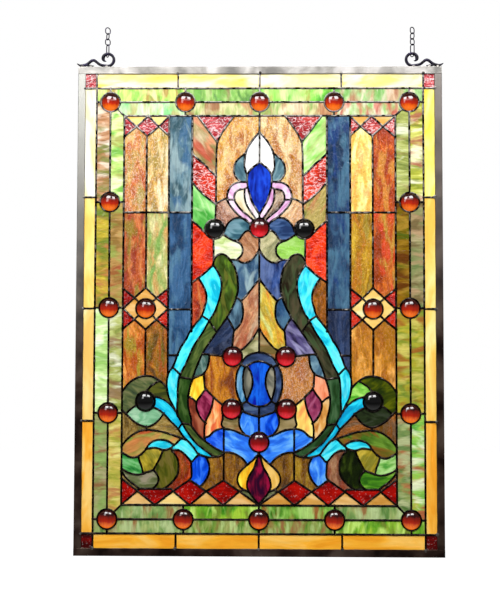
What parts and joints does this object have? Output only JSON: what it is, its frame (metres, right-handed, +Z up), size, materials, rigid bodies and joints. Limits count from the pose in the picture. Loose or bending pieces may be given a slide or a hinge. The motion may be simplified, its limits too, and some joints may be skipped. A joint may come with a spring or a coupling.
{
  "type": "stained glass window",
  "caption": "Hanging stained glass window panel: lily, lyre ribbons and scroll leaves in coloured glass with domed jewels, channel-framed, on scroll hooks with short chains.",
  "frame": {"origin": "midway between the tops of the two hanging chains, on the panel's middle plane", "axes": "+Z up, the decorated front with the domed jewels faces -Y, +X to the viewer's right as seen from the front"},
  "size_m": [0.4616, 0.0108, 0.6612],
  "materials": {
    "frame_metal": "dark brown-black patina on a zinc channel, satin",
    "solder_metal": "black patina on rounded solder lines, semi-gloss",
    "cast_metal": "blackened cast metal, semi-gloss",
    "red_glass": "hammered red art glass",
    "amber_glass": "smooth opalescent amber glass",
    "green_glass": "wispy green and brown opalescent glass",
    "column_glass": "granite-textured amber and brown glass",
    "blue_glass": "streaky slate-blue glass",
    "ribbon_glass": "turquoise opalescent ribbons beside olive bands",
    "leaf_glass": "streaky green leaves and brown ground",
    "arch_glass": "granite amber round a white, blue and pink lily",
    "vase_glass": "brown, slate, purple and peach pieces",
    "base_glass": "brown, blue, yellow and purple pieces over red and amber",
    "red_jewel_glass": "clear deep red to orange domed glass, polished",
    "black_jewel_glass": "black domed glass, polished"
  },
  "bodies": {
    "root": {"frame_channel_bottom": "frame_metal", "frame_channel_top": "frame_metal", "frame_channel_left": "frame_metal", "frame_channel_right": "frame_metal", "solder_network": "solder_metal", "red_corner_bottom_left": "red_glass", "red_corner_top_left": "red_glass", "amber_border_left": "amber_glass", "green_border_left": "green_glass", "column_glass_left": "column_glass", "blue_strip_left": "blue_glass", "lyre_ribbon_left": "ribbon_glass", "scroll_corner_glass_left": "leaf_glass", "red_corner_bottom_right": "red_glass", "red_corner_top_right": "red_glass", "amber_border_right": "amber_glass", "green_border_right": "green_glass", "column_glass_right": "column_glass", "blue_strip_right": "blue_glass", "lyre_ribbon_right": "ribbon_glass", "scroll_corner_glass_right": "leaf_glass", "amber_border_bottom": "amber_glass", "green_border_bottom": "green_glass", "amber_border_top": "amber_glass", "green_border_top": "green_glass", "arch_and_lily_glass": "arch_glass", "vase_glass": "vase_glass", "base_glass": "base_glass", "jewel_bottom_centre": "red_jewel_glass", "jewel_bottom_quarter_left": "red_jewel_glass", "jewel_bottom_quarter_right": "red_jewel_glass", "jewel_bottom_corner_left": "red_jewel_glass", "jewel_bottom_corner_right": "red_jewel_glass", "jewel_top_centre": "red_jewel_glass", "jewel_top_quarter_left": "red_jewel_glass", "jewel_top_quarter_right": "red_jewel_glass", "jewel_top_corner_left": "red_jewel_glass", "jewel_top_corner_right": "red_jewel_glass", "jewel_side_low_left": "red_jewel_glass", "jewel_side_low_right": "red_jewel_glass", "jewel_side_middle_left": "red_jewel_glass", "jewel_side_middle_right": "red_jewel_glass", "jewel_side_high_left": "red_jewel_glass", "jewel_side_high_right": "red_jewel_glass", "jewel_cross_left": "red_jewel_glass", "jewel_cross_right": "red_jewel_glass", "jewel_scroll_left": "black_jewel_glass", "jewel_scroll_right": "black_jewel_glass", "jewel_shoulder_left": "black_jewel_glass", "jewel_shoulder_right": "black_jewel_glass", "jewel_vase_upper_left": "red_jewel_glass", "jewel_vase_upper_right": "red_jewel_glass", "jewel_vase_lower_left": "red_jewel_glass", "jewel_vase_lower_right": "red_jewel_glass", "jewel_lily": "red_jewel_glass", "jewel_base": "red_jewel_glass", "scroll_hook_left": "cast_metal", "hanging_chain_left": "cast_metal", "scroll_hook_right": "cast_metal", "hanging_chain_right": "cast_metal"}
  },
  "joints": []
}
